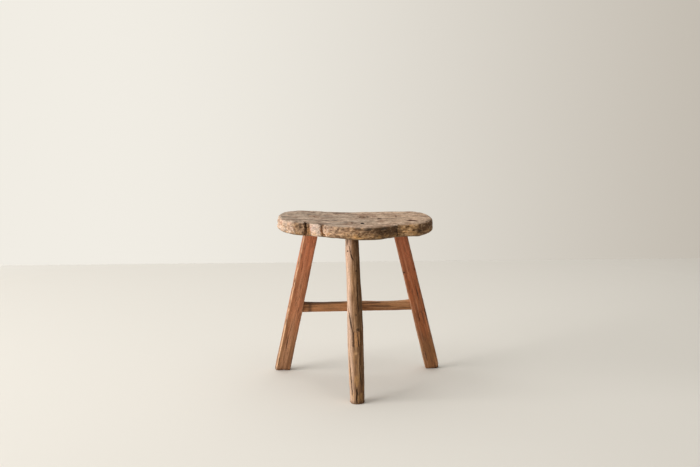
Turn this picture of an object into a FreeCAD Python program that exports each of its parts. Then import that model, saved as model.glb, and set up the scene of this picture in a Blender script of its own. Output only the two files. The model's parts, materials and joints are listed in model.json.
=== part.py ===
import FreeCAD, Part
import os
from math import cos, pi, radians, sin
from FreeCAD import Vector

# A hand-made three-legged milking stool, in millimetres. X runs along the seat, +Y points to the
# rear pair of legs and +Z up. The stool is laid out about the middle of its seat and is moved at
# the end, so that the origin is under the middle of its whole outline, on the ground.

# Seat: a worn slab with the grain along X
seat_top = 428.0
seat_thickness = 35.0
seat_top_round = 8.0
seat_bottom_round = 11.0
seat_dish = 4.0             # hollow worn in the middle of the top
seat_warp = 6.0             # rise of the left end of the slab
seat_outline = (
    (0, 114), (-60, 117), (-112, 125), (-146, 119), (-171, 96), (-186, 60), (-191, 20),
    (-186, -12), (-172, -38), (-150, -54), (-122, -62), (-92, -72), (-62, -89), (-30, -104),
    (0, -114), (32, -116), (64, -106), (92, -88), (114, -79), (140, -75), (164, -60),
    (183, -32), (193, 2), (191, 42), (180, 80), (157, 104), (118, 112), (60, 113),
)

# Splits in the seat's front edge: X and Y of the inner end, mouth width, length, lean of the split
seat_clefts = (
    (-125.0, -50.0, 11.0, 30.0, 4.0),
    (-82.0, -68.0, 6.0, 20.0, -14.0),
    (102.0, -80.0, 7.0, 24.0, 10.0),
)

# Legs: the middle of each sole, and the middle of the leg where it meets the seat
rear_left_foot = Vector(-182.8, 159.0, 0)
rear_left_top = Vector(-107.0, 51.0, 393.0)
rear_right_foot = Vector(213.6, 156.0, 0)
rear_right_top = Vector(112.9, 50.0, 393.0)
front_foot = Vector(-2.4, -147.0, 0)
front_top = Vector(-10.0, -55.0, 393.0)
rear_left_widths = (38.5, 34.5)     # at the sole and at the seat
rear_right_widths = (36.6, 33.0)
rear_leg_depth = 28.0
rear_leg_chamfer = 2.5
sole_chamfer = 2.0
rear_tenon_width = 26.0
rear_tenon_depth = 16.0
leg_overrun = 40.0          # spare length at each end, trimmed off at the floor and at the seat

# Front leg: a round pole, given as distance up the leg, radius and sideways bow of its middle
front_leg_sections = (
    (-40.0, 18.0, 0.0),
    (60.0, 18.6, 0.0),
    (155.0, 19.2, 0.0),
    (245.0, 18.0, 0.0),
    (330.0, 16.8, -0.8),
    (445.0, 15.8, -1.2),
)
front_tenon_diameter = 24.0
hewn_length = 62.0          # flats hewn on the front leg under the seat
hewn_depth = 0.74           # how close they come to its middle at the top, in radii
hewn_turn = 45.0            # how far each flat is turned from the arris between them
hewn_arris_turn = -4.0      # the arris points forwards and a little to the left

# Rear stretcher: its underside and its worn hollow top are given above its middle line
stretcher_height = 180.0    # height of its middle line
stretcher_depth = 18.0
stretcher_underside = (-13.0, -9.5)
stretcher_upperside = (13.0, 9.8, 11.6, 10.6, 18.0)
stretcher_tenon_height = 16.0
stretcher_tenon_depth = 12.0

# Centre stretcher: the stem of the T, from the rear stretcher down to the front leg
centre_front_height = 155.0
centre_front_side = 2.3     # its tenon lies right of the front leg's middle
centre_rear_x = 3.0
centre_width = 22.0
centre_front_depth = 36.0
centre_rear_depth = 25.0
centre_tenon_width = 17.0
centre_tenon_height = 34.0
centre_tenon_gap = 1.2      # side clearance of the loose mortise in the front leg
centre_housing = 5.0        # how far its end is let into the back of the front leg
centre_rear_tenon_width = 12.0
centre_rear_tenon_height = 15.0
centre_wedge_side = 3.5     # the wedge is driven right of the middle and leans to the left
centre_wedge_lean = 6.0

# Wedges: driven into a sawn slot in each tenon's end
wedge_thickness = 4.0
wedge_tip = 1.0
wedge_length = 24.0
small_wedge_thickness = 3.0
small_wedge_length = 18.0

reach = 300.0               # large size for cutting bodies


def seat_upper(x, y):
    """Height of the seat's top: a worn hollow in the middle, and the left end lifted by warping."""
    hollow = seat_dish * (cos(pi * x / 480) * cos(pi * y / 360)) ** 2
    return seat_top + seat_warp * (min(x, 0) / 200) ** 2 - hollow


def seat_lower(x, y):
    """Height of the seat's underside, which follows the warp alone."""
    return seat_top + seat_warp * (min(x, 0) / 200) ** 2 - seat_thickness


def height_face(height):
    """A smooth face over the seat whose height comes from the function given."""
    columns = range(-240, 241, 60)
    rows = range(-180, 181, 60)
    grid = [[Vector(x, y, height(x, y)) for y in rows] for x in columns]
    surface = Part.BSplineSurface()
    surface.interpolate(grid)
    return surface.toShape()


def beam(start, end, across, start_size, end_size, chamfer=0.0):
    """A tapering squared bar. Each size is (along the across direction, square to it)."""
    axis = (end - start).normalize()
    side = (across - axis * across.dot(axis)).normalize()
    up = axis.cross(side)
    wires = []
    for middle, size in ((start, start_size), (end, end_size)):
        half_u, half_v = size[0] / 2, size[1] / 2
        if chamfer:
            corners = (
                (half_u, half_v - chamfer), (half_u - chamfer, half_v),
                (chamfer - half_u, half_v), (-half_u, half_v - chamfer),
                (-half_u, chamfer - half_v), (chamfer - half_u, -half_v),
                (half_u - chamfer, -half_v), (half_u, chamfer - half_v),
            )
        else:
            corners = ((half_u, half_v), (-half_u, half_v), (-half_u, -half_v), (half_u, -half_v))
        points = [middle + side * u + up * v for u, v in corners]
        wires.append(Part.makePolygon(points + points[:1]))
    return Part.makeLoft(wires, True, True)


def leg_point(foot, top, height):
    """The point of a leg's middle line at a height above the floor."""
    return foot + (top - foot) * (height / top.z)


def leg_tenon(foot, top):
    """A rear leg's squared tenon, from the seat's underside to well above its top."""
    axis = (top - foot).normalize()
    size = (rear_tenon_width, rear_tenon_depth)
    return beam(top - axis * leg_overrun, top + axis * 2 * leg_overrun, Vector(1, 0, 0), size, size)


def wedge_at(tip, outward, along, thickness, length):
    """A wedge whose thin end is at the tip, widening outwards to its thickness at that length."""
    outward = Vector(outward).normalize()
    along = (along - outward * along.dot(outward)).normalize()
    spread = outward.cross(along)
    far = tip + outward * (2 * length)
    half_tip = spread * (wedge_tip / 2)
    half_far = spread * (thickness - wedge_tip / 2)
    corners = [tip - half_tip, tip + half_tip, far + half_far, far - half_far]
    points = [corner - along * reach / 2 for corner in corners]
    return Part.Face(Part.makePolygon(points + points[:1])).extrude(along * reach)


def drive_wedge(tenon, tip, outward, along, thickness, length):
    """Splits a tenon with a wedge. Gives the slotted tenon and the wedge, both flush at the end."""
    wedge = tenon.common(wedge_at(tip, outward, along, thickness, length))
    return tenon.cut(wedge), wedge


def cleft_cutter(x, y, mouth, length, lean):
    """A tapering split through the slab, from its inner end out past the front edge."""
    middle = Vector(x, y, 0)
    outward = Vector(sin(radians(lean)), -cos(radians(lean)), 0)
    side = Vector(-outward.y, outward.x, 0)
    far = middle + outward * (2 * length)
    points = [middle + side * 0.8, far + side * mouth, far - side * mouth, middle - side * 0.8]
    outline = Part.makePolygon(points + points[:1])
    return Part.Face(outline).extrude(Vector(0, 0, reach)).translated(Vector(0, 0, reach))


def make_slab():
    """The seat before its mortises are cut, with its edges rounded and its clefts open."""
    curve = Part.BSplineCurve()
    curve.interpolate([Vector(x, y, 0) for x, y in seat_outline], PeriodicFlag=True)
    prism = Part.Face(Part.Wire(curve.toShape())).extrude(Vector(0, 0, 2 * reach))
    slab = prism.common(below_top).cut(below_seat)
    rims = sorted((e for e in slab.Edges if e.BoundBox.XLength > reach), key=lambda e: e.BoundBox.ZMin)
    slab = slab.makeFillet(seat_top_round, [rims[-1]])
    rims = sorted((e for e in slab.Edges if e.BoundBox.XLength > reach), key=lambda e: e.BoundBox.ZMin)
    slab = slab.makeFillet(seat_bottom_round, [rims[0]])
    for cleft in seat_clefts:
        slab = slab.cut(cleft_cutter(*cleft))
    return slab


def make_rear_leg(foot, top, widths):
    """A squared rear leg. Gives the leg with its slotted tenon, the plain tenon and the wedge."""
    axis = (top - foot).normalize()
    growth = (widths[0] - widths[1]) * leg_overrun / (top - foot).Length
    body = beam(
        foot - axis * leg_overrun, top + axis * leg_overrun, Vector(1, 0, 0),
        (widths[0] + growth, rear_leg_depth), (widths[1] - growth, rear_leg_depth), rear_leg_chamfer,
    )
    tenon = leg_tenon(foot, top).cut(below_seat).common(below_top)
    tip = leg_point(foot, top, seat_top - wedge_length)
    slotted, wedge = drive_wedge(tenon, tip, axis, Vector(0, 1, 0), wedge_thickness, wedge_length)
    body = bevel_sole(body.common(below_seat).common(above_floor))
    return body.fuse(slotted).removeSplitter(), tenon, wedge


def make_front_leg():
    """The round front leg. Gives the leg with its slotted tenon, the plain tenon and the wedge."""
    axis = (front_top - front_foot).normalize()
    wires = []
    for distance, radius, bow in front_leg_sections:
        middle = front_foot + axis * distance + Vector(bow, 0, 0)
        wires.append(Part.Wire(Part.makeCircle(radius, middle, axis)))
    body = Part.makeLoft(wires, True, False)
    for turn in (-hewn_turn, hewn_turn):
        body = body.cut(hewn_flat(axis, turn + hewn_arris_turn))
    body = bevel_sole(body.common(below_seat).common(above_floor))
    start = front_top - axis * leg_overrun
    tenon = Part.makeCylinder(front_tenon_diameter / 2, 3 * leg_overrun, start, axis)
    tenon = tenon.cut(below_seat).common(below_top)
    tip = leg_point(front_foot, front_top, seat_top - wedge_length)
    slotted, wedge = drive_wedge(tenon, tip, axis, Vector(0, 1, 0), wedge_thickness, wedge_length)
    return body.fuse(slotted).removeSplitter(), tenon, wedge


def bevel_sole(leg):
    """Bevels the worn edge all round a leg's sole."""
    return leg.makeChamfer(sole_chamfer, [edge for edge in leg.Edges if edge.BoundBox.ZMax < 0.1])


def hewn_flat(axis, turn):
    """Cuts a flat that runs out down the front leg, turned about the leg from straight ahead."""
    facing = Vector(sin(radians(turn)), -cos(radians(turn)), 0)
    facing = (facing - axis * facing.dot(axis)).normalize()
    radius = front_leg_sections[-1][1]
    inner = front_top + facing * (hewn_depth * radius)
    outer = front_top - axis * hewn_length + facing * (radius + 1.2)
    side = (inner - outer).cross(facing).normalize()
    beyond = inner + (inner - outer)
    corners = (outer, beyond, beyond + facing * reach, outer + facing * reach)
    points = [corner - side * reach / 2 for corner in corners]
    return Part.Face(Part.makePolygon(points + points[:1])).extrude(side * reach)


def make_rear_stretcher(left_leg, right_leg):
    """The rail between the rear legs, with tenons through both. Gives the rail and its wedges."""
    left = leg_point(rear_left_foot, rear_left_top, stretcher_height)
    right = leg_point(rear_right_foot, rear_right_top, stretcher_height)
    along = (right - left).normalize()
    rise = Vector(0, 0, 1)
    depth = rise.cross(along)
    length = (right - left).Length
    under = [left + along * length * i + rise * z for i, z in enumerate(stretcher_underside)]
    steps = len(stretcher_upperside) - 1
    upper = [left + along * length * i / steps + rise * z for i, z in enumerate(stretcher_upperside)]
    worn_top = Part.BSplineCurve()
    worn_top.interpolate(upper)
    outline = Part.Wire([
        Part.makeLine(upper[0], under[0]), Part.makeLine(under[0], under[1]),
        Part.makeLine(under[1], upper[-1]), worn_top.toShape(),
    ])
    rail = Part.Face(outline).extrude(depth * stretcher_depth).translated(depth * -stretcher_depth / 2)
    rail = rail.cut(left_leg).cut(right_leg)
    size = (stretcher_tenon_depth, stretcher_tenon_height)
    wedges = []
    for leg, end, outward in ((left_leg, left, along * -1), (right_leg, right, along)):
        tenon = beam(end - outward * reach / 2, end + outward * reach / 2, depth, size, size).common(leg)
        slotted, wedge = drive_wedge(tenon, end, outward, depth, small_wedge_thickness, small_wedge_length)
        rail = rail.fuse(slotted)
        wedges.append(wedge)
    return rail.removeSplitter(), wedges


def make_centre_stretcher(front_leg, rail):
    """The stem of the T. Gives the bar, its wedge and the mortise that it needs in the front leg."""
    front = leg_point(front_foot, front_top, centre_front_height) + Vector(centre_front_side, 0, 0)
    rear = leg_point(rear_left_foot, rear_left_top, stretcher_height)
    rear.x = centre_rear_x
    axis = (rear - front).normalize()
    across = Vector(1, 0, 0)
    radius = front_leg_sections[2][1]
    housed = front + axis * (radius - centre_housing)
    end = rear - axis * stretcher_depth / 2
    body = beam(housed, rear, across, (centre_width, centre_front_depth), (centre_width, centre_rear_depth))
    body = body.cut(rail)
    size = (centre_tenon_width, centre_tenon_height)
    tenon = beam(front - axis * 2 * radius, housed, across, size, size).common(front_leg)
    loose = (centre_tenon_width + 2 * centre_tenon_gap, centre_tenon_height)
    mortise = beam(front - axis * 2 * radius, housed, across, loose, loose)
    tip = front - axis * (radius - wedge_length) + Vector(centre_wedge_side, 0, 0)
    lean = Vector(sin(radians(centre_wedge_lean)), 0, -cos(radians(centre_wedge_lean)))
    slotted, wedge = drive_wedge(tenon, tip, axis * -1, lean, small_wedge_thickness, wedge_length)
    size = (centre_rear_tenon_width, centre_rear_tenon_height)
    rear_tenon = beam(end - axis, rear + axis * stretcher_depth, across, size, size).common(rail)
    return body.fuse([slotted, rear_tenon]).removeSplitter(), wedge, mortise


def make_parts():
    """All the nodes, each fitted to its neighbours, still laid out about the middle of the seat."""
    rear_left, left_tenon, left_wedge = make_rear_leg(rear_left_foot, rear_left_top, rear_left_widths)
    rear_right, right_tenon, right_wedge = make_rear_leg(rear_right_foot, rear_right_top, rear_right_widths)
    front_leg, front_tenon, front_wedge = make_front_leg()
    rail, rail_wedges = make_rear_stretcher(rear_left, rear_right)
    centre, centre_wedge, mortise = make_centre_stretcher(front_leg, rail)
    tenons = [left_tenon, right_tenon, front_tenon]
    return {
        "seat": make_slab().cut(tenons),
        "front_leg": front_leg.cut([mortise, centre]),
        "rear_leg_left": rear_left.cut([rail] + rail_wedges),
        "rear_leg_right": rear_right.cut([rail] + rail_wedges),
        "rear_stretcher": rail.cut(centre),
        "centre_stretcher": centre,
        "front_leg_tenon_wedge": front_wedge,
        "rear_leg_left_tenon_wedge": left_wedge,
        "rear_leg_right_tenon_wedge": right_wedge,
        "rear_stretcher_left_wedge": rail_wedges[0],
        "rear_stretcher_right_wedge": rail_wedges[1],
        "centre_stretcher_tenon_wedge": centre_wedge,
    }


def write_parts(shapes):
    """Moves the stool so that the origin is under its middle, and writes one file per node."""
    box = Part.makeCompound(list(shapes.values())).optimalBoundingBox(False, False)
    middle = Vector(-box.Center.x, -box.Center.y, 0)
    os.makedirs("parts", exist_ok=True)
    for name, shape in shapes.items():
        moved = shape.translated(middle)
        moved.exportStep(f"parts/{name}.step")
        print(name, moved.isValid(), len(moved.Solids), round(moved.Volume / 1000, 1))
    print("size", box.XLength, box.YLength, box.ZLength)
    print("middle of the seat", middle)


below_top = height_face(seat_upper).extrude(Vector(0, 0, -reach))
below_seat = height_face(seat_lower).extrude(Vector(0, 0, -2 * reach))
above_floor = Part.makeBox(4 * reach, 4 * reach, 4 * reach, Vector(-2 * reach, -2 * reach, 0))
write_parts(make_parts())
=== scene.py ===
import json
import math
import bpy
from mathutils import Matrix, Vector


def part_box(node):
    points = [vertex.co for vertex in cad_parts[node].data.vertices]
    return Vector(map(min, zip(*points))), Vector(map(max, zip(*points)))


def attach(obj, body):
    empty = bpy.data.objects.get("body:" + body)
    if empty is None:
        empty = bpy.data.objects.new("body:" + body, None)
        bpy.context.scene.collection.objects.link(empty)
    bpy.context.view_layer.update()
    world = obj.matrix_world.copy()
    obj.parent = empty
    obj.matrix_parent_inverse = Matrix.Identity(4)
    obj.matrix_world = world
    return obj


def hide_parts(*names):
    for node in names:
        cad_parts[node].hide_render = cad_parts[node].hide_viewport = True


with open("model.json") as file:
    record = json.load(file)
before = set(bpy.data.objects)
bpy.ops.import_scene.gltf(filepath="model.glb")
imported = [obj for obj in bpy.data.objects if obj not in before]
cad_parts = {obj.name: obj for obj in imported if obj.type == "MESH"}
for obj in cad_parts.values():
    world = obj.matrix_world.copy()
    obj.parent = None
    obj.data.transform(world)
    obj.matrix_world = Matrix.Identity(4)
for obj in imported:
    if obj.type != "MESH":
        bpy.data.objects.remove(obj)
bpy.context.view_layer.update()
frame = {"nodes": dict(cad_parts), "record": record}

from types import SimpleNamespace

import bmesh
import bpy
import numpy as np
from mathutils import Vector
from mathutils.bvhtree import BVHTree

MM = 0.001

# --- Places that come from the frame -------------------------------------------------------------


def mount_place(name):
    """Where one of the record's mounts is, in metres."""
    return Vector(next(m["pos_m"] for m in frame["record"]["mounts"] if m["name"] == name))


def box_middle(node):
    """The middle of a CAD node's box, in metres."""
    low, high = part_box(node)
    return (low + high) / 2


SEAT_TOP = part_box("seat")[1].z
SEAT_MIDDLE = box_middle("seat")
LEGS = {
    "front_leg": (mount_place("front_foot_sole"), box_middle("front_leg_tenon_wedge")),
    "rear_leg_left": (mount_place("rear_left_foot_sole"), box_middle("rear_leg_left_tenon_wedge")),
    "rear_leg_right": (mount_place("rear_right_foot_sole"), box_middle("rear_leg_right_tenon_wedge")),
}

# --- Noise ---------------------------------------------------------------------------------------


def lattice_value(cell, seed):
    """A repeatable pseudo-random number from -1 to 1 for each whole-numbered cell; the large numbers
    only mix the bits."""
    mixed = cell[:, 0] * 374761393 + cell[:, 1] * 668265263 + cell[:, 2] * 1440662683 + seed * 974634777
    mixed &= 0xFFFFFFFF
    mixed = ((mixed ^ (mixed >> 13)) * 1274126177) & 0xFFFFFFFF
    mixed ^= mixed >> 16
    return (mixed & 0xFFFF) / 32767.5 - 1.0


def noise(points, seed):
    """Smooth gradient noise, about -1 to 1, with features one unit across."""
    cell = np.floor(points).astype(np.int64)
    part = points - cell
    smooth = part * part * part * (part * (part * 6 - 15) + 10)
    total = np.zeros(len(points))
    for corner in ((i, j, k) for i in (0, 1) for j in (0, 1) for k in (0, 1)):
        offset = part - corner
        where = cell + np.array(corner)
        slope = sum(lattice_value(where, seed * 3 + axis) * offset[:, axis] for axis in range(3))
        weight = np.prod(np.where(np.array(corner), smooth, 1 - smooth), axis=1)
        total += slope * weight
    return total * 1.6


def rough(points, size, seed, octaves=3):
    """Layered noise; size is the largest feature's size along each axis, in the points' units."""
    scaled = points / np.array(size, float)
    total = np.zeros(len(points))
    for octave in range(octaves):
        total += noise(scaled * 2.0 ** octave, seed + 17 * octave) / 2.0 ** octave
    return total


def ease(value, start, end):
    """0 up to the start, 1 from the end on, and smooth between them; the start may be the higher."""
    t = np.clip((value - start) / (end - start), 0.0, 1.0)
    return t * t * (3 - 2 * t)


def bump(value, middle, half_width):
    """1 at the middle, falling smoothly to 0 at half_width from it."""
    t = np.clip(np.abs(value - middle) / half_width, 0.0, 1.0)
    return (1 - t * t) ** 2


# --- Meshes --------------------------------------------------------------------------------------


def fine_copy(node, voxel):
    """An even, fine mesh over a CAD node's surface: its new object and its points, in millimetres."""
    source = bmesh.new()
    source.from_mesh(frame["nodes"][node].data)
    bmesh.ops.remove_doubles(source, verts=source.verts, dist=1e-6)
    tree = BVHTree.FromBMesh(source)
    source_mesh = bpy.data.meshes.new(node + "_source")
    source.to_mesh(source_mesh)
    source.free()
    maker = bpy.data.objects.new(node + "_source", source_mesh)
    bpy.context.scene.collection.objects.link(maker)
    remesh = maker.modifiers.new("even", "REMESH")
    remesh.mode = "VOXEL"
    remesh.voxel_size = voxel
    evaluated = maker.evaluated_get(bpy.context.evaluated_depsgraph_get())
    mesh = bpy.data.meshes.new_from_object(evaluated)
    bpy.data.objects.remove(maker)
    bpy.data.meshes.remove(source_mesh)
    piece = bpy.data.objects.new(node + "_wood", mesh)
    mesh.name = piece.name
    bpy.context.scene.collection.objects.link(piece)
    mesh.shade_smooth()
    on_surface = [tree.find_nearest(vertex.co)[0] for vertex in mesh.vertices]
    points = np.array(on_surface, float) / MM
    set_points(piece, points)
    return piece, points


def set_points(piece, points):
    """Moves a piece's vertices to points in millimetres."""
    piece.data.vertices.foreach_set("co", (points * MM).astype(np.float32).ravel())
    piece.data.update()


def normals_of(piece):
    """The outward direction at each of a piece's vertices."""
    found = np.empty(len(piece.data.vertices) * 3, np.float32)
    piece.data.vertex_normals.foreach_get("vector", found)
    return found.reshape(-1, 3).astype(float)


def crack(u, v, line, half_width, wander, places):
    """How far into a crack each point is, 1 at its middle: u and v are coordinates on the surface,
    line is the crack's course in them, and wander is how far it strays."""
    starts, ends = np.array(line[:-1], float), np.array(line[1:], float)
    lengths = np.linalg.norm(ends - starts, axis=1)
    v = v + wander * noise(places / 9.0, 91)
    nearest, along = np.full(len(u), 1e9), np.zeros(len(u))
    for number, (start, end) in enumerate(zip(starts, ends)):
        run = end - start
        t = np.clip(((u - start[0]) * run[0] + (v - start[1]) * run[1]) / (run @ run), 0, 1)
        gap = np.hypot(u - start[0] - t * run[0], v - start[1] - t * run[1])
        closer = gap < nearest
        nearest = np.where(closer, gap, nearest)
        along = np.where(closer, (lengths[:number].sum() + t * lengths[number]) / lengths.sum(), along)
    width = half_width * (0.45 + 0.55 * np.sqrt(np.clip(4 * along * (1 - along), 0, 1)))
    return 1 - ease(nearest, 0.5 * width, 1.6 * width)


def store_vectors(piece, name, values):
    """Stores a vector per point, for the materials."""
    made = piece.data.attributes.new(name, "FLOAT_VECTOR", "POINT")
    made.data.foreach_set("vector", values.astype(np.float32).ravel())


# --- Colours -------------------------------------------------------------------------------------

DARKEST = 0.002


def linear(red, green, blue):
    """A colour given as display values from 0 to 255, as the linear values that shaders use."""
    shown = np.array((red, green, blue), float) / 255
    return np.where(shown <= 0.04045, shown / 12.92, ((shown + 0.055) / 1.055) ** 2.4)


class Coats:
    """A piece's colour at each point: a first colour, and the coats that are painted over it."""

    def __init__(self, first, count):
        self.colours = np.tile(linear(*first), (count, 1))

    def paint(self, shown, amount):
        """Paints a display colour over the coats so far, by an amount per point."""
        self.cover(linear(*shown), amount)

    def cover(self, colours, amount):
        """Blends linear colours over the coats so far, by an amount per point."""
        self.colours = self.colours + (colours - self.colours) * np.clip(amount, 0, 1)[:, None]

    def store(self, piece):
        """Hands the colours to the piece's material."""
        store_vectors(piece, "tint", np.clip(self.colours, DARKEST, 1))


# --- Materials -----------------------------------------------------------------------------------

# fibre and ring are those features' sizes along and across the grain, in metres; the contrasts and
# fleck say how much they lighten and darken; bump_depth is in metres, and dullness is a roughness
WOODS = {
    "seat_wood": {"fibre": (0.05, 0.0016), "ring": (0.12, 0.006), "fibre_contrast": 0.34,
                  "ring_contrast": 0.22, "fleck": 0.5, "bump_depth": 0.0012, "dullness": 0.85},
    "front_leg_wood": {"fibre": (0.06, 0.0014), "ring": (0.10, 0.005), "fibre_contrast": 0.26,
                       "ring_contrast": 0.2, "fleck": 0.4, "bump_depth": 0.0008, "dullness": 0.78},
    "rear_leg_wood": {"fibre": (0.09, 0.0013), "ring": (0.3, 0.005), "fibre_contrast": 0.2,
                      "ring_contrast": 0.16, "fleck": 0.35, "bump_depth": 0.0005, "dullness": 0.78},
    "stretcher_wood": {"fibre": (0.08, 0.0013), "ring": (0.2, 0.005), "fibre_contrast": 0.2,
                       "ring_contrast": 0.18, "fleck": 0.35, "bump_depth": 0.0005, "dullness": 0.78},
    "wedge_wood": {"fibre": (0.03, 0.0012), "ring": (0.06, 0.004), "fibre_contrast": 0.2,
                   "ring_contrast": 0.18, "fleck": 0.35, "bump_depth": 0.0004, "dullness": 0.85},
}
FLECK_SCALE = (160.0, 1100.0, 1100.0)
PATCH_SCALE = (18.0, 45.0, 45.0)


class Graph:
    """A short way to write the nodes of a new material or world."""

    def __init__(self, owner):
        owner.use_nodes = True
        self.owner = owner
        self.tree = owner.node_tree

    def node(self, name):
        """One of the nodes that a new material or world already has."""
        return self.tree.nodes[name]

    def feed(self, socket, value):
        """Sets an input to a value, or links it to another node's output."""
        if isinstance(value, bpy.types.NodeSocket):
            self.tree.links.new(value, socket)
        else:
            socket.default_value = value

    def add(self, kind, values=(), **settings):
        """A new node with its settings and with a value or a link for some of its inputs."""
        made = self.tree.nodes.new(kind)
        for key, value in settings.items():
            setattr(made, key, value)
        for socket, value in dict(values).items():
            self.feed(made.inputs[socket], value)
        return made

    def vector(self, name, scale):
        """A stored vector, multiplied by a scale along each axis."""
        stored = self.add("ShaderNodeAttribute", attribute_name=name).outputs["Vector"]
        return self.add("ShaderNodeVectorMath", {0: stored, 1: scale}, operation="MULTIPLY").outputs[0]

    def noise(self, vector, detail, roughness, distortion=0.0):
        """Noise from 0 to 1 at a vector."""
        values = {"Vector": vector, "Scale": 1.0, "Detail": detail, "Roughness": roughness,
                  "Distortion": distortion}
        return self.add("ShaderNodeTexNoise", values).outputs["Fac"]

    def span(self, value, low, high, new_low=0.0, new_high=1.0, **settings):
        """Maps the values from low to high to those from new_low to new_high."""
        values = {"Value": value, "From Min": low, "From Max": high, "To Min": new_low, "To Max": new_high}
        return self.add("ShaderNodeMapRange", values, **settings).outputs["Result"]

    def math(self, operation, first, second):
        """Two numbers put together."""
        return self.add("ShaderNodeMath", {0: first, 1: second}, operation=operation).outputs[0]

    def blend(self, mode, under, over, amount=1.0):
        """Two colours put together."""
        values = {0: amount, 6: under, 7: over}
        return self.add("ShaderNodeMix", values, data_type="RGBA", blend_type=mode).outputs[2]


def wood_material(name, fibre, ring, fibre_contrast, ring_contrast, fleck, bump_depth, dullness):
    """Bare old wood: the piece's own tint, broken up by fibres, rings, patches and dark flecks."""
    graph = Graph(bpy.data.materials.new(name))
    fibre_scale = (1 / fibre[0], 1 / fibre[1], 1 / fibre[1])
    ring_scale = (1 / ring[0], 1 / ring[1], 1 / ring[1])
    fibres = graph.noise(graph.vector("grain", fibre_scale), 5.0, 0.65, distortion=0.4)
    rings = graph.noise(graph.vector("grain", ring_scale), 3.0, 0.6, distortion=1.2)
    flecks = graph.noise(graph.vector("grain", FLECK_SCALE), 2.0, 0.7)
    patches = graph.noise(graph.vector("grain", PATCH_SCALE), 5.0, 0.6)
    fibre_shade = graph.span(fibres, 0.3, 0.7, 1 - fibre_contrast, 1 + fibre_contrast)
    ring_shade = graph.span(rings, 0.32, 0.68, 1 - ring_contrast, 1 + ring_contrast)
    patch_shade = graph.span(patches, 0.3, 0.7, 0.86, 1.14)
    fleck_shade = graph.span(flecks, 0.36, 0.46, 1 - fleck, 1.0)
    shade = graph.math("MULTIPLY", graph.math("MULTIPLY", fibre_shade, ring_shade), patch_shade)
    shade = graph.math("MULTIPLY", shade, fleck_shade)
    grey = graph.add("ShaderNodeCombineColor", {0: shade, 1: shade, 2: shade}).outputs[0]
    tint = graph.add("ShaderNodeAttribute", attribute_name="tint").outputs["Color"]
    worn = graph.math("MULTIPLY", fibre_shade, patch_shade)
    height = graph.math("ADD", graph.math("MULTIPLY", fibres, 0.7), graph.math("MULTIPLY", flecks, 0.3))
    raised = graph.add("ShaderNodeBump", {"Height": height, "Strength": 0.8, "Distance": bump_depth})
    shader = graph.node("Principled BSDF")
    graph.feed(shader.inputs["Base Color"], graph.blend("MULTIPLY", tint, grey))
    graph.feed(shader.inputs["Roughness"], graph.span(worn, 0.7, 1.3, dullness - 0.1, dullness + 0.08))
    graph.feed(shader.inputs["Specular IOR Level"], 0.3)
    graph.feed(shader.inputs["Normal"], raised.outputs["Normal"])
    return graph.owner


MATERIALS = {name: wood_material(name, **look) for name, look in WOODS.items()}


def finish_piece(piece, node, slot):
    """Gives a piece its material and its place in the assembly."""
    piece.data.materials.clear()
    piece.data.materials.append(MATERIALS[slot])
    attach(piece, "root")
    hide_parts(node)


# --- The seat ------------------------------------------------------------------------------------
# Seat coordinates are millimetres from its middle (x to the right, y to the rear) and, in z, from
# its highest point downwards.

SEAT_VOXEL = 1.5 * MM
KNOT = (18.0, 36.0)
HOLE = (13.5, -59.6)
GOUGE = (61.0, 11.0)
DASH = (137.0, -35.0)
DASH_LINE = ((129, -33), (147, -37))
# Each crack's start, end, half-width and depth
TOP_CRACKS = (
    ((-84, 13), (-50, 14), 1.3, 2.0),
    ((-40, 5), (-6, 4), 1.5, 2.4),
    ((-52, -77), (-22, -76), 1.8, 2.6),
    ((-112, -22), (-60, -26), 1.0, 1.4),
    ((-150, 22), (-96, 30), 1.2, 1.6),
    ((34, -22), (92, -30), 1.2, 1.6),
    ((58, 60), (120, 48), 1.3, 1.6),
    ((120, 4), (150, 6), 1.6, 1.4),
    ((-30, -48), (8, -58), 1.0, 1.5),
    ((24, -62), (70, -66), 1.2, 1.6),
    ((-100, 66), (-20, 74), 1.2, 1.6),
)

# The front edge's features from left to right: x, or x and z
RIDGE_X = -168.0
CUT_END_X = -150.0
BARK_X = -139.0
CLEFT_X = -125.0
POCKET_X = -117.5
BLOCK_X = -101.0
CURL_X = -88.0
ROLL_EYE = (-78.0, -13.0)
ROLL = (-73.0, -18.5)
STEP_X = 98.0
# Each dark stain's x, z, half-length and half-height
STAINS = ((-1, -10, 8, 2.4), (22, -12, 13, 3.5), (61, -13, 9, 3.0))


def seat_surface(points, normals):
    """The seat's coordinates, which way each point faces, and the course of the grain."""
    place = points - np.array((SEAT_MIDDLE.x, SEAT_MIDDLE.y, SEAT_TOP)) / MM
    x, y, z = place.T
    facing_up = normals[:, 2]
    side = 1 - ease(np.abs(facing_up), 0.45, 0.9)
    top = ease(facing_up, 0.5, 0.9)
    front = ease(-normals[:, 1], 0.0, 0.4) * side

    # The grain runs from end to end and bends round the knot
    knot_x, knot_y = KNOT
    around = np.exp(-((x - knot_x) / 34) ** 2 - ((y - knot_y) / 40) ** 2)
    bent_y = y - 20 * around * np.tanh((y - knot_y) / 16)
    grain = place.copy()
    grain[:, 1] = bent_y + 5 * rough(place, (120, 60, 60), 2, 2)
    knot_distance = np.hypot((x - knot_x) / 1.1, y - knot_y)
    knot = np.exp(-(knot_distance / 13) ** 2) * top
    return SimpleNamespace(place=place, x=x, y=y, z=z, facing_up=facing_up, side=side, top=top, front=front,
                           bent_y=bent_y, grain=grain, knot_distance=knot_distance, knot=knot)


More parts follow.
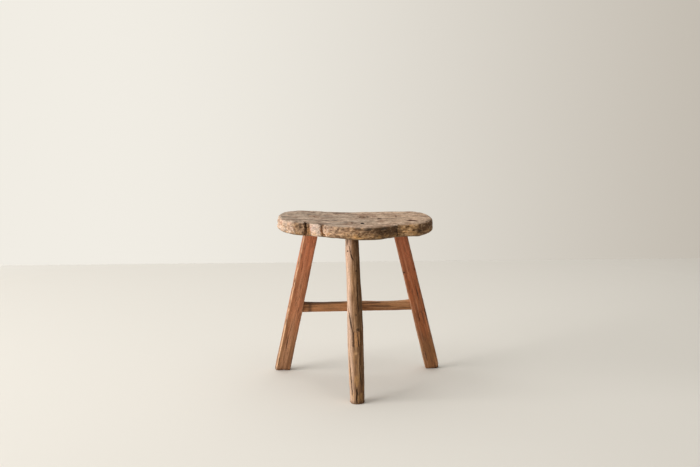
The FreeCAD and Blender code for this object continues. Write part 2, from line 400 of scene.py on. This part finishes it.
def wear_seat_top(seat):
    """Marks the checks, cracks, dash and gouge, and says how far the top's points move outwards."""
    x, y, top = seat.x, seat.y, seat.top
    flat = 1 - seat.side
    shift = 0.75 * rough(seat.grain, (90, 7, 7), 3, 3) * flat + 0.8 * rough(seat.place, (70, 45, 45), 5, 2)
    seat.checks = ease(rough(seat.grain, (110, 8, 9), 11, 2), 0.40, 0.62) * flat
    shift -= 1.3 * seat.checks
    seat.cracks = np.zeros(len(x))
    for start, end, half_width, depth in TOP_CRACKS:
        opened = crack(x, seat.bent_y, (start, end), half_width, 2.0, seat.place) * top
        seat.cracks = np.maximum(seat.cracks, opened)
        shift -= depth * opened
    hole = ease(np.hypot(x - HOLE[0], (y - HOLE[1]) / 2.4), 4.6, 2.4) * top
    seat.dash = crack(x, y, DASH_LINE, 5.5, 0.5, seat.place) * top
    seat.gouge = ease(np.hypot((x - GOUGE[0]) / 1.2, (y - GOUGE[1]) / 1.9), 6.5, 3.0) * top
    shift -= 6.0 * hole + 1.8 * seat.dash + 1.6 * seat.gouge
    shift += 0.9 * seat.knot * np.cos(seat.knot_distance / 2.0)
    return shift


def wear_seat_edge(seat):
    """Marks the features of the broken, lumpy edge, and says how far its points move outwards."""
    place, x, y, z, side, front = seat.place, seat.x, seat.y, seat.z, seat.side, seat.front

    # Lumps, fibres and pits all round, calmer on the block and at the right end
    lumps = np.maximum(rough(place, (25, 25, 15), 7, 2), rough(place, (21, 21, 19), 13, 2)) - 0.15
    seat.fibres = rough(place, (26, 26, 3.6), 8, 3)
    fewer_pits = 1 - 0.8 * bump(x, BARK_X - 1, 26.0)
    seat.pits = ease(rough(place, (12, 12, 4.5), 9, 2), 0.30, 0.60) * fewer_pits
    block = np.clip(1 - ((x - BLOCK_X + 0.1 * (z + 18)) / 13.0) ** 2, 0, 1) ** 0.3 * front
    seat.on_block = ease(block, 0.1, 0.5)
    calm = 1 - 0.7 * np.maximum(seat.on_block, ease(x, 150, 170))
    shift = side * calm * (3.4 * lumps + 0.8 * seat.fibres - 1.3 * seat.pits)

    # The chopped left end, a ridge between two of its facets, and upright bark right of it
    seat.chopped = 1 - 2.2 * np.abs(rough(place, (17, 17, 24), 44, 2))
    cut_end = 1 - ease(x, CUT_END_X - 12, CUT_END_X)
    ridge_line = RIDGE_X - 0.58 * (z + 4.9)
    facet = ease(ridge_line - x, -1.0, 1.5) * ease(-y, 20, 40) * side
    seat.ridge = bump(x, ridge_line + 1.5, 3.2) * front
    seat.bark = rough(place, (4.4, 4.4, 30.0), 10, 2) * bump(x, BARK_X, 18.0) * front
    shift += 1.3 * seat.chopped * cut_end * side + 1.8 * seat.ridge - 0.6 * facet + 1.8 * seat.bark

    # The deep cleft, the smooth block, the curled split and the rolled grain beside it
    seat.cleft_x = CLEFT_X + 1.4 * np.sin(z / 5) + 1.6 * noise(place / 6.0, 12)
    seat.cleft = bump(x, seat.cleft_x, 4.2) * front * (1 - 0.45 * ease(-z, 14, 22))
    seat.pocket = bump(x, POCKET_X, 4.0) * ease(-z, 6, 12) * front
    curl_x = CURL_X + 14.0 * ((z + 19) / 18) ** 2
    seat.curl = bump(x, curl_x, 2.7) * front
    seat.curl_rim = bump(x, curl_x + 5.0, 3.4) * front
    roll_distance = np.hypot((x - ROLL[0]) / 0.8, (z - ROLL[1]) / 1.45)
    seat.roll = ease(roll_distance, 13.0, 6.0) * front
    seat.roll_ring = 0.7 * bump(roll_distance, 7.5, 2.4) * ease(-z, 10, 18) * front
    seat.roll_eye = ease(np.hypot(x - ROLL_EYE[0], z - ROLL_EYE[1]), 4.4, 1.8) * front
    shift += -6.5 * seat.cleft - 2.5 * seat.pocket + 5.0 * block - 3.4 * seat.curl
    shift += 2.5 * seat.roll - 1.8 * seat.roll_ring - 3.5 * seat.roll_eye

    # The step near the right end
    step = ease(x, STEP_X, STEP_X + 1.5) * (1 - ease(x, STEP_X + 1.5, STEP_X + 18)) * front
    # a groove left of the step, also painted dark as the step's shadow side
    seat.step_line = bump(x, STEP_X - 1.2, 2.8) * front
    shift -= 5.0 * step + 2.0 * seat.step_line
    return shift


def colour_seat_top(seat):
    """Grey on the left and tan on the right, with dark checks and cracks."""
    place, grain, x, y, top = seat.place, seat.grain, seat.x, seat.y, seat.top
    warm = ease(x + 60 * rough(place, (100, 60, 60), 21, 2), -70, 110)
    coats = Coats((166, 148, 131), len(x))
    coats.paint((184, 156, 131), warm)
    coats.paint((206, 178, 155), 0.5 * ease(rough(grain, (60, 14, 14), 22, 3), 0.05, 0.5))
    coats.paint((130, 110, 92), 0.4 * ease(rough(grain, (90, 14, 14), 23, 3), 0.08, 0.5))
    coats.paint((150, 110, 86), 0.5 * ease(rough(grain, (36, 16, 16), 24, 2), 0.25, 0.55))
    flecks = rough(grain, (15, 12, 12), 29, 3)
    coats.paint((98, 76, 58), 0.5 * ease(flecks, 0.2, 0.6))
    coats.paint((222, 198, 176), 0.4 * ease(-flecks, 0.22, 0.6))
    crumbs = rough(grain, (8, 10, 10), 34, 2)
    coats.paint((108, 86, 68), 0.4 * ease(crumbs, 0.15, 0.55) * (0.4 + 0.6 * warm))
    coats.paint((220, 192, 166), 0.35 * ease(-crumbs, 0.18, 0.55))
    coats.paint((84, 62, 46), 0.8 * seat.checks)
    coats.paint((120, 90, 62), 0.7 * seat.knot)
    coats.paint((78, 54, 36), seat.knot * ease(np.cos(seat.knot_distance / 2.0), -0.2, -0.9))
    coats.paint((52, 36, 26), 0.95 * seat.cracks)
    # painted shade in and round the hole
    hole_shade = ease(np.hypot((x - HOLE[0]) / 1.1, (y - HOLE[1]) / 3.0), 5.2, 3.6) * top
    coats.paint((22, 12, 8), hole_shade)
    dash_distance = np.hypot((x - DASH[0]) / 2.8, (y - DASH[1] + 0.25 * (x - DASH[0])) / 2.2)
    dash_stain = ease(dash_distance + 2.2 * rough(place, (9, 9, 9), 40, 2), 5.2, 2.6) * top
    coats.paint((92, 58, 42), 0.95 * dash_stain)
    coats.paint((58, 34, 24), seat.dash)
    coats.paint((70, 48, 34), 0.9 * seat.gouge)
    coats.paint((120, 96, 70), 1 - ease(seat.facing_up, -0.6, 0.0))
    return coats


def colour_seat_edge(seat):
    """Golden brown and stained round the edge, with painted shade where the front turns away from the light
    and painted highlights where it faces it; paler where the left end and the block were cut, partly as a
    painted highlight.
    """
    place, x, y, z, on_block, fibres = seat.place, seat.x, seat.y, seat.z, seat.on_block, seat.fibres
    low = ease(-z, 20, 30)
    # shaded marks where the front face turns away from the light, for painted shade
    shaded = ease(x, 20, 60) * (1 - ease(x, STEP_X - 1, STEP_X + 2))
    pale = 1 - ease(x, CUT_END_X - 14, CUT_END_X)
    cut_and_lit = np.clip(pale + on_block, 0, 1)

    # The broad colours, from the middle to the right and then from the left
    coats = Coats((158, 122, 90), len(x))
    coats.paint((190, 146, 96), 0.6 * low)
    # painted shade where the front turns away from the light, less towards the bottom
    coats.paint((98, 70, 45), shaded * (1 - 0.4 * low))
    # painted highlight on the lobe right of the step, which faces the light, then painted shade on the
    # right end, which turns away from it
    coats.paint((204, 158, 108), 0.9 * ease(x, STEP_X, STEP_X + 2) * (1 - ease(x, 142, 160)))
    coats.paint((116, 84, 58), ease(x, 138, 158) * (1 - 0.5 * low))
    # the left end's pale cut face, partly a painted highlight, with painted highlights and painted shade on
    # its chopped facets
    coats.paint((198, 168, 146), pale)
    coats.paint((242, 222, 204), 0.65 * ease(seat.chopped, 0.7, 0.95) * pale)
    coats.paint((180, 138, 112), 0.5 * ease(-seat.chopped, 0.0, 0.6) * pale)
    coats.paint((158, 122, 94), bump(x, BARK_X + 3, 20.0))
    # the pale cut block, partly a painted highlight, brighter towards its right
    coats.paint((226, 199, 183), on_block)
    coats.paint((238, 212, 192), 0.7 * on_block * ease(x, BLOCK_X - 3, BLOCK_X + 5))
    coats.paint((176, 132, 130), 0.7 * bump(x, BLOCK_X - 11.5, 3.0) * ease(-z, 8, 14))
    # painted highlight where the front faces the light, right of the curled split
    coats.paint((212, 174, 146), 0.75 * (1 - ease(x, -66, -10)) * ease(x, CURL_X - 4, CURL_X + 4))

    # Fibres, specks, mottling and blushes, each with its light and its dark, then pits and bark
    coats.paint((218, 182, 146), 0.45 * ease(fibres, 0.08, 0.5) * (1 - 0.7 * shaded))
    coats.paint((98, 70, 46), 0.5 * ease(-fibres, 0.1, 0.5) * (1 - 0.8 * cut_and_lit))
    specks = rough(place, (7, 7, 5), 39, 2)
    coats.paint((84, 60, 38), 0.5 * ease(specks, 0.15, 0.5) * (1 - 0.7 * cut_and_lit))
    coats.paint((222, 188, 148), 0.5 * ease(-specks, 0.2, 0.55) * (1 - 0.5 * shaded))
    mottle = rough(place, (13, 13, 9), 27, 3)
    coats.paint((96, 68, 42), 0.5 * ease(mottle, 0.08, 0.45) * (1 - 0.8 * cut_and_lit))
    coats.paint((206, 158, 98), 0.45 * ease(-mottle, 0.12, 0.5) * low)
    blush = rough(place, (12, 12, 8), 28, 2)
    coats.paint((196, 138, 114), 0.4 * ease(blush, 0.12, 0.45) * cut_and_lit * (1 - 0.5 * on_block))
    coats.paint((230, 206, 186), 0.5 * ease(-blush, 0.12, 0.45) * cut_and_lit)
    coats.paint((72, 50, 32), 0.6 * seat.pits * (1 - 0.5 * cut_and_lit))
    coats.paint((96, 76, 58), 0.7 * ease(seat.bark, 0.1, 0.5))

    # The single features
    for stain_x, stain_z, half_length, half_height in STAINS:
        stain = ease(np.hypot((x - stain_x) / half_length, (z - stain_z) / half_height), 1.3, 0.6)
        coats.paint((70, 58, 48), 0.75 * stain)
    coats.paint((226, 198, 176), 0.7 * seat.ridge + 0.3 * seat.roll)
    coats.paint((176, 116, 62), 0.7 * seat.roll_ring + seat.curl)
    # painted highlight on the rim right of the curled split
    coats.paint((236, 206, 180), 0.8 * seat.curl_rim)
    coats.paint((196, 152, 96), 0.8 * seat.pocket * ease(-z, 20, 28))
    # painted shade in the cleft, the upper pocket and the roll's eye
    hollow_shade = seat.cleft * (1 - 0.4 * ease(-z, 26, 34)) + 0.6 * seat.pocket * (1 - ease(-z, 16, 22))
    coats.paint((86, 58, 36), hollow_shade + 0.5 * seat.roll_eye)
    cleft_floor = bump(x, seat.cleft_x + 4.0, 9.0) * ease(-z, 12, 18) * ease(-y, 30, 40)
    coats.paint((186, 138, 94), 0.75 * cleft_floor)
    # painted shadow on the step's shaded side
    coats.paint((46, 30, 18), 0.9 * seat.step_line)
    return coats


def make_seat():
    """The slab seat."""
    piece, points = fine_copy("seat", SEAT_VOXEL)
    normals = normals_of(piece)
    seat = seat_surface(points, normals)
    shift = wear_seat_top(seat) + wear_seat_edge(seat)
    set_points(piece, points + normals * shift[:, None])
    coats = colour_seat_top(seat)
    coats.cover(colour_seat_edge(seat).colours, seat.side)
    coats.store(piece)
    store_vectors(piece, "grain", seat.grain * MM)
    finish_piece(piece, "seat", "seat_wood")


# --- Legs ----------------------------------------------------------------------------------------
# Leg coordinates are millimetres up from the foot, across to the right and through to the rear.

# Heights above the floor, in millimetres
UNDERSIDE_CLEARED, WELL_INSIDE = 402, 414


def leg_axes(node):
    """A leg's foot, in millimetres, and its directions up, across and through."""
    foot, top = (np.array(end) / MM for end in LEGS[node])
    up = (top - foot) / np.linalg.norm(top - foot)
    across = np.array((1.0, 0, 0)) - up * up[0]
    across /= np.linalg.norm(across)
    return foot, np.array((up, across, np.cross(up, across)))


def inside_seat(points):
    """1 where a leg's tenon is well inside the seat, so that only its end shows."""
    return ease(points[:, 2], UNDERSIDE_CLEARED, WELL_INSIDE)


FRONT_LEG_VOXEL = 0.95 * MM
FRONT_LEG_RADIUS = 18.0
ARC_PER_DEGREE = math.radians(1) * FRONT_LEG_RADIUS
# Each crack's course as heights and degrees round the leg from its front, half-width and depth
FRONT_LEG_CRACKS = (
    (((380, -40), (362, -22), (345, -2)), 1.4, 3.0),
    (((262, -80), (237, -68), (205, -46), (171, -24)), 1.4, 3.4),
    (((165, -80), (128, -69), (75, -57), (19, -46)), 1.5, 3.8),
    (((33, -2), (14, -6), (-4, -5)), 1.5, 3.5),
    (((120, 30), (80, 24), (42, 32)), 1.0, 1.6),
    (((300, 34), (262, 22), (220, 30)), 1.0, 1.8),
    (((330, 120), (250, 132), (160, 118)), 1.3, 2.5),
    (((230, -150), (120, -160), (30, -150)), 1.3, 2.5),
)
# Each nail hole's height, degrees round the leg and radius
NAIL_HOLES = ((368, -59, 2.2), (318.5, 22, 1.6), (212, 8, 1.2))
# The height of a pale bruise on the leg's front, and a smudge's height and degrees
BRUISE_UP = 119.0
SMUDGE = (389.0, -67.0)


def wear_front_leg(leg):
    """Marks the cracks and nail holes, and says how far the leg's points move outwards."""
    place, up, arc = leg.place, leg.up, leg.arc
    # The cracks, nail holes and hewn foot leave the tenon and the inside of the mortise as they are
    off_axis = ease(np.hypot(leg.across, leg.through), 11.0, 13.5)
    outer = off_axis * ease(up, -3, 1) * (1 - ease(up, 398, 402))
    shift = 0.8 * rough(place, (55, 15, 15), 31, 3) + 0.35 * rough(leg.grain, (40, 3.2, 3.2), 32, 2)
    leg.cracks = np.zeros(len(up))
    for line, half_width, depth in FRONT_LEG_CRACKS:
        spread = [(height, degrees * ARC_PER_DEGREE) for height, degrees in line]
        opened = crack(up, arc, spread, half_width, 1.2, place) * outer
        leg.cracks = np.maximum(leg.cracks, opened)
        shift -= depth * opened
    leg.nails = np.zeros(len(up))
    for height, degrees, radius in NAIL_HOLES:
        distance = np.hypot(up - height, arc - degrees * ARC_PER_DEGREE)
        leg.nails = np.maximum(leg.nails, ease(distance, radius + 0.8, radius - 0.6) * outer)
    hewn_foot = ease(up, 60, 20) * np.abs(rough(place, (26, 9, 9), 33, 2)) * outer
    shift -= 2.0 * leg.nails + 1.6 * hewn_foot
    return shift


def colour_front_leg(leg, points):
    """Pale with a painted highlight on the left, brown with painted shade on the right, with streaks,
    stains and dark cracks.
    """
    place, up, turn, arc = leg.place, leg.up, leg.turn, leg.arc
    # left is the side that gets a painted highlight; the right side gets painted shade, and streaks are
    # calmer on the highlight
    left = 1 - ease(turn, -48, -14)
    upper = ease(up, 318, 352)
    calm = 1 - 0.7 * left
    coats = Coats((148, 110, 76), len(up))
    # painted highlight on the left side, a little less pale towards the foot, and painted shade on the
    # right side
    coats.paint((206, 172, 148), left * ease(turn + 180, 40, 80))
    coats.paint((180, 142, 108), 0.4 * left * ease(up, 180, 120))
    coats.paint((112, 78, 46), ease(turn, 2, 40))
    # at the hewn top: painted shade on the right facet and a painted highlight on the left facet
    coats.paint((116, 82, 54), 0.85 * upper * ease(turn, -10, 0))
    coats.paint((190, 154, 130), 0.6 * upper * (1 - ease(turn, -16, -8)))
    streaks = rough(leg.grain, (75, 3.4, 3.4), 35, 3)
    coats.paint((98, 66, 42), 0.4 * ease(streaks, 0.08, 0.5) * calm)
    coats.paint((214, 174, 138), 0.4 * ease(-streaks, 0.12, 0.5) * calm)
    coats.paint((108, 76, 48), 0.5 * ease(rough(place, (40, 11, 11), 36, 3), 0.10, 0.5) * calm)
    gold = ease(rough(place, (30, 8, 8), 37, 3), 0.15, 0.5) * ease(up, 150, 60)
    coats.paint((190, 144, 88), 0.4 * gold)

    # Painted shade in the slit left of the centre stretcher's tenon and round its soft rim, and a dark spot
    # above the tenon
    tenon = box_middle("centre_stretcher_tenon_wedge") / MM
    sideways, above = points[:, 0] - tenon.x, points[:, 2] - tenon.z
    facing_front = ease(-leg.through, 4, 9)
    slit_distance = np.abs(sideways + 9.8)
    slit = ease(slit_distance, 1.7, 0.7) * ease(np.abs(above), 20, 15)
    slit_rim = ease(slit_distance, 4.0, 1.5) * ease(np.abs(above), 22, 15)
    spot = ease(np.hypot((sideways + 1) / 1.2, (above - 22) / 1.1), 4.2, 2.2)
    coats.paint((110, 78, 52), 0.3 * slit_rim * facing_front)
    coats.paint((64, 42, 26), 0.8 * spot * facing_front)
    coats.paint((36, 22, 14), 0.9 * slit * facing_front)

    # A pale bruise, a smudge near the top, the cracks and nails, and both ends
    coats.paint((212, 168, 118), 0.6 * ease(np.hypot(up - BRUISE_UP, arc + 1), 4.5, 1.5))
    smudge_up, smudge_turn = SMUDGE
    smudge = ease(np.hypot((up - smudge_up) / 2, arc - smudge_turn * ARC_PER_DEGREE), 5, 2)
    coats.paint((90, 62, 48), 0.7 * smudge)
    coats.paint((56, 36, 22), 0.9 * leg.cracks)
    coats.paint((34, 20, 14), leg.nails)
    coats.paint((70, 48, 32), 0.5 * ease(up, 8, 0))
    coats.paint((150, 128, 108), 0.9 * inside_seat(points))
    return coats


def make_front_leg():
    """The round leg."""
    piece, points = fine_copy("front_leg", FRONT_LEG_VOXEL)
    normals = normals_of(piece)
    foot, axes = leg_axes("front_leg")
    place = (points - foot) @ axes.T
    up, across, through = place.T
    turn = np.degrees(np.arctan2(across, -through))
    grain = place.copy()
    grain[:, 1] += 2.5 * rough(place, (70, 30, 30), 30, 2)
    leg = SimpleNamespace(place=place, up=up, across=across, through=through, turn=turn,
                          arc=turn * ARC_PER_DEGREE, grain=grain)
    shift = wear_front_leg(leg)
    set_points(piece, points + normals * shift[:, None])
    colour_front_leg(leg, points).store(piece)
    store_vectors(piece, "grain", grain * MM)
    finish_piece(piece, "front_leg", "front_leg_wood")


REAR_LEG_VOXEL = 1.1 * MM
# Each rear leg's seed, its colours high up and near the floor, and how strong the painted highlight on its
# left front corner is
REAR_LEGS = {
    "rear_leg_left": {"seed": 41, "red": (186, 120, 82), "brown": (160, 114, 78), "lit": 0.75},
    "rear_leg_right": {"seed": 71, "red": (167, 95, 57), "brown": (144, 98, 60), "lit": 0.2},
}
# How far up and across the left leg's stain and the right leg's nail are
STAIN_PLACE = (80.0, -6.0)
NAIL_PLACE = (301.0, -13.0)


def make_rear_leg(node, seed, red, brown, lit):
    """A squared leg; the left one has a stained patch, the right one a nail and a broken foot."""
    piece, points = fine_copy(node, REAR_LEG_VOXEL)
    normals = normals_of(piece)
    foot, axes = leg_axes(node)
    place = (points - foot) @ axes.T
    up, across = place.T[:2]
    facing_right, facing_rear = axes[1:] @ normals.T
    facing_front = -facing_rear
    grain = place.copy()
    grain[:, 1] += 2.0 * rough(place, (110, 40, 40), seed + 5, 2)
    least_facing = np.minimum(np.abs(facing_right), np.abs(facing_rear))
    corner = ease(least_facing, 0.25, 0.6) * (1 - ease(up, 388, 394))

    dents = ease(rough(place, (26, 10, 10), seed + 2, 2), 0.35, 0.7)
    chips = ease(rough(place, (16, 9, 9), seed + 3, 2), 0.1, 0.6) * corner
    slits = ease(rough(grain, (70, 3.4, 3.4), seed + 6, 2), 0.62, 0.74)
    worn_foot = 1 - ease(up, 2, 14)
    shift = 0.35 * rough(place, (70, 18, 18), seed, 3) + 0.22 * rough(grain, (60, 2.8, 2.8), seed + 1, 2)
    shift -= 0.8 * dents + 1.6 * chips + 1.0 * slits
    shift -= 0.8 * worn_foot * np.abs(rough(place, (9, 9, 9), seed + 4, 2))
    broken = ease(across + 0.5 * rough(place, (6, 6, 6), seed + 11, 2) - 0.7 * up, 8, 13)
    if node == "rear_leg_right":
        shift -= 2.5 * broken
    set_points(piece, points + normals * shift[:, None])

    coats = Coats(red, len(up))
    coats.paint((198, 118, 82), 0.75 * ease(up, 250, 360))
    coats.paint(brown, ease(up + 60 * rough(place, (80, 30, 30), seed + 7, 2), 230, 40))
    streaks = rough(grain, (150, 4, 4), seed + 8, 3)
    coats.paint((122, 70, 46), 0.32 * ease(streaks, 0.05, 0.5))
    coats.paint((204, 150, 116), 0.32 * ease(-streaks, 0.1, 0.55))
    worn = corner * ease(rough(place, (40, 12, 12), seed + 9, 2), -0.45, 0.0)
    coats.paint((202, 160, 126), 0.4 * worn)
    # painted highlight on the left front corner
    coats.paint((226, 186, 150), lit * ease(-facing_right, 0.2, 0.5) * ease(facing_front, 0.2, 0.5))
    coats.paint((104, 70, 48), 0.45 * ease(rough(place, (40, 7, 7), seed + 10, 3), 0.3, 0.65))
    coats.paint((64, 40, 26), 0.8 * slits)
    coats.paint((84, 60, 42), 0.6 * worn_foot + 0.5 * chips)
    if node == "rear_leg_right":
        nail_distance = np.hypot(up - NAIL_PLACE[0], across - NAIL_PLACE[1])
        coats.paint((40, 24, 16), ease(nail_distance, 3.4, 1.8) * ease(facing_front, 0.1, 0.4))
        coats.paint((72, 48, 30), 0.85 * broken)
    else:
        stained = bump(up, STAIN_PLACE[0], 55) * bump(across, STAIN_PLACE[1], 9)
        stained *= ease(facing_front, 0.4, 0.8)
        coats.paint((92, 62, 42), 0.8 * stained * ease(streaks, -0.25, 0.3))
    coats.paint((158, 136, 114), 0.9 * inside_seat(points))
    coats.store(piece)
    store_vectors(piece, "grain", (grain + (0, seed * 3.0, 0)) * MM)
    finish_piece(piece, node, "rear_leg_wood")


# --- Stretchers and wedges -----------------------------------------------------------------------
# Bar coordinates are millimetres from the node's middle, along its grain first.

STRETCHER_VOXEL = 0.9 * MM
WEDGE_VOXEL = 0.35 * MM
STRETCHER_COLOUR = (176, 124, 82)
WEDGE_COLOUR = (92, 64, 44)
LEG_SHADOW_X = (-121, 6)    # painted shadows cast by the left rear leg and the front leg: beside the rear stretcher's left leg, and where the centre stretcher meets it


def colour_tenon_end(coats, place, normals):
    """The centre stretcher's end in the front leg, with painted shade in the slits of its loose mortise and
    on the end's right part.
    """
    tenon_end = ease(-normals[:, 1], 0.5, 0.8) * ease(-place[:, 0], 90, 120)
    coats.paint((186, 138, 94), 0.8 * tenon_end)
    # painted shade on the end's right part, as on the leg's shaded right side
    coats.paint((104, 72, 46), 0.8 * tenon_end * ease(place[:, 1], 7, 8))
    # painted shade in the slits
    slits = np.maximum(bump(place[:, 1], 7.2, 1.6), ease(-place[:, 1], 8.8, 9.4))
    coats.paint((34, 20, 12), 0.95 * tenon_end * slits)


def colour_rail(coats, place, normals):
    """The rear stretcher: redder below, with a painted shadow along the top at the left, painted leg
    shadows at two joints and a painted highlight on the top at the right."""
    coats.paint((172, 116, 76), 0.5 * ease(-place[:, 2], 2, 9))
    # painted shadow along the top of the stretcher at the left
    coats.paint((64, 42, 28), 0.7 * ease(place[:, 2], 6, 9) * ease(-place[:, 0], 20, 45))
    # painted shadows that the left rear leg and the front leg cast on the stretcher's front
    for shadow_x in LEG_SHADOW_X:
        leg_shadow = bump(place[:, 0], shadow_x, 8) * ease(-normals[:, 1], -0.3, 0.5)
        coats.paint((60, 38, 24), 0.6 * leg_shadow)
    # painted highlight on the top at the right end
    coats.paint((196, 154, 112), 0.5 * ease(place[:, 0], 50, 90) * ease(normals[:, 2], 0.4, 0.8))


def make_bar(node, voxel, seed, slot, colour, order=(0, 1, 2), extra_coats=None):
    """A stretcher or a wedge; order puts the axis along its grain first."""
    piece, points = fine_copy(node, voxel)
    normals = normals_of(piece)
    place = (points - np.array(box_middle(node)) / MM)[:, order]
    shift = 0.3 * rough(place, (50, 12, 12), seed, 3) + 0.15 * rough(place, (40, 2.6, 2.6), seed + 1, 2)
    set_points(piece, points + normals * shift[:, None])
    coats = Coats(colour, len(points))
    streaks = rough(place, (90, 4, 4), seed + 2, 3)
    coats.paint((84, 54, 34), 0.7 * ease(streaks, 0.1, 0.5))
    coats.paint((196, 148, 106), 0.5 * ease(-streaks, 0.15, 0.55))
    if extra_coats:
        extra_coats(coats, place, normals)
    coats.store(piece)
    store_vectors(piece, "grain", (place + (0, seed * 3.0, 0)) * MM)
    finish_piece(piece, node, slot)


make_seat()
make_front_leg()
for node, look in REAR_LEGS.items():
    make_rear_leg(node, **look)
make_bar("rear_stretcher", STRETCHER_VOXEL, 51, "stretcher_wood", STRETCHER_COLOUR,
         extra_coats=colour_rail)
make_bar("centre_stretcher", STRETCHER_VOXEL, 53, "stretcher_wood", STRETCHER_COLOUR,
         order=(1, 0, 2), extra_coats=colour_tenon_end)
for number, node in enumerate(sorted(n for n in frame["nodes"] if n.endswith("wedge"))):
    make_bar(node, WEDGE_VOXEL, 60 + number, "wedge_wood", WEDGE_COLOUR, order=(2, 0, 1))

# --- Stage, light and camera ---------------------------------------------------------------------

FLOOR_REACH = 5.0
FLOOR_BACK = 1.57
FLOOR_COLOUR = linear(228, 225, 218)
FADE_START, FADE_END = 1.75, 2.7
SKY_LEFT, SKY_RIGHT = linear(241, 237, 228), linear(186, 178, 166)
SKY_TURN = (-0.15, 0.45)    # the x of the directions between which it turns from one to the other
DIM_LIGHT = (1.0, 0.91, 0.77)
DIM_LIGHT_STRENGTH = 0.2


def make_floor():
    """A pale floor that ends in a straight line behind the object and fades out all round it."""
    mesh = bpy.data.meshes.new("floor")
    corners = [(x, y, 0) for y in (-FLOOR_REACH, FLOOR_BACK) for x in (-FLOOR_REACH, FLOOR_REACH)]
    mesh.from_pydata(corners, [], [(0, 1, 3, 2)])
    sheet = bpy.data.objects.new("floor", mesh)
    bpy.context.scene.collection.objects.link(sheet)
    graph = Graph(bpy.data.materials.new("floor"))
    shader = graph.node("Principled BSDF")
    graph.feed(shader.inputs["Base Color"], (*FLOOR_COLOUR, 1))
    graph.feed(shader.inputs["Roughness"], 0.9)
    place = graph.add("ShaderNodeTexCoord").outputs["Object"]
    distance = graph.add("ShaderNodeVectorMath", {0: place}, operation="LENGTH").outputs["Value"]
    faded = graph.span(distance, FADE_START, FADE_END)
    clear = graph.add("ShaderNodeBsdfTransparent").outputs[0]
    mixed = graph.add("ShaderNodeMixShader", {0: faded, 1: shader.outputs[0], 2: clear}).outputs[0]
    graph.feed(graph.node("Material Output").inputs["Surface"], mixed)
    mesh.materials.append(graph.owner)


def make_world():
    """Dim, even light on the object, and a pale background that darkens from left to right."""
    graph = Graph(bpy.data.worlds.new("studio"))
    lamp = graph.node("Background")
    graph.feed(lamp.inputs["Color"], (*DIM_LIGHT, 1))
    graph.feed(lamp.inputs["Strength"], DIM_LIGHT_STRENGTH)
    direction = graph.add("ShaderNodeTexCoord").outputs["Generated"]
    sideways = graph.add("ShaderNodeSeparateXYZ", {0: direction}).outputs["X"]
    darker = graph.span(sideways, *SKY_TURN, interpolation_type="SMOOTHSTEP")
    background = graph.blend("MIX", (*SKY_LEFT, 1), (*SKY_RIGHT, 1), darker)
    seen = graph.add("ShaderNodeBackground", {"Color": background}).outputs[0]
    is_seen = graph.add("ShaderNodeLightPath").outputs["Is Camera Ray"]
    mixed = graph.add("ShaderNodeMixShader", {0: is_seen, 1: lamp.outputs[0], 2: seen}).outputs[0]
    graph.feed(graph.node("World Output").inputs["Surface"], mixed)
    bpy.context.scene.world = graph.owner


def area_light(name, place, target, size, power, colour):
    """A soft rectangular lamp that isn't seen itself; its power is in watts."""
    light = bpy.data.lights.new(name, "AREA")
    light.shape = "RECTANGLE"
    light.size, light.size_y = size
    light.energy = power
    light.color = colour
    lamp = bpy.data.objects.new(name, light)
    lamp.location = place
    lamp.rotation_euler = (Vector(target) - Vector(place)).to_track_quat("-Z", "Y").to_euler()
    lamp.visible_camera = False
    bpy.context.scene.collection.objects.link(lamp)


make_floor()
make_world()
area_light("window", place=(-6.19, -2.19, 2.17), target=(0.2, 0, 0.25), size=(5.1, 3.65), power=459,
           colour=(1.0, 0.985, 0.965))
area_light("ceiling", place=(-1.1, 0.7, 3.0), target=(-1.1, 0.7, 0), size=(5.5, 5.5), power=112,
           colour=(1.0, 0.99, 0.975))
bpy.context.scene.view_settings.view_transform = "Standard"

CAMERA_TURN = math.radians(-3.0)
CAMERA_TILT = math.radians(10.229)
CAMERA_PLACE = Vector((-0.2020, -3.3230, 0.9899))
camera = bpy.data.objects.new("camera", bpy.data.cameras.new("camera"))
camera.data.lens = 70
camera.data.sensor_width = 36
camera.location = CAMERA_PLACE
camera.rotation_euler = (math.pi / 2 - CAMERA_TILT, 0, CAMERA_TURN)
bpy.context.scene.collection.objects.link(camera)
bpy.context.scene.camera = camera
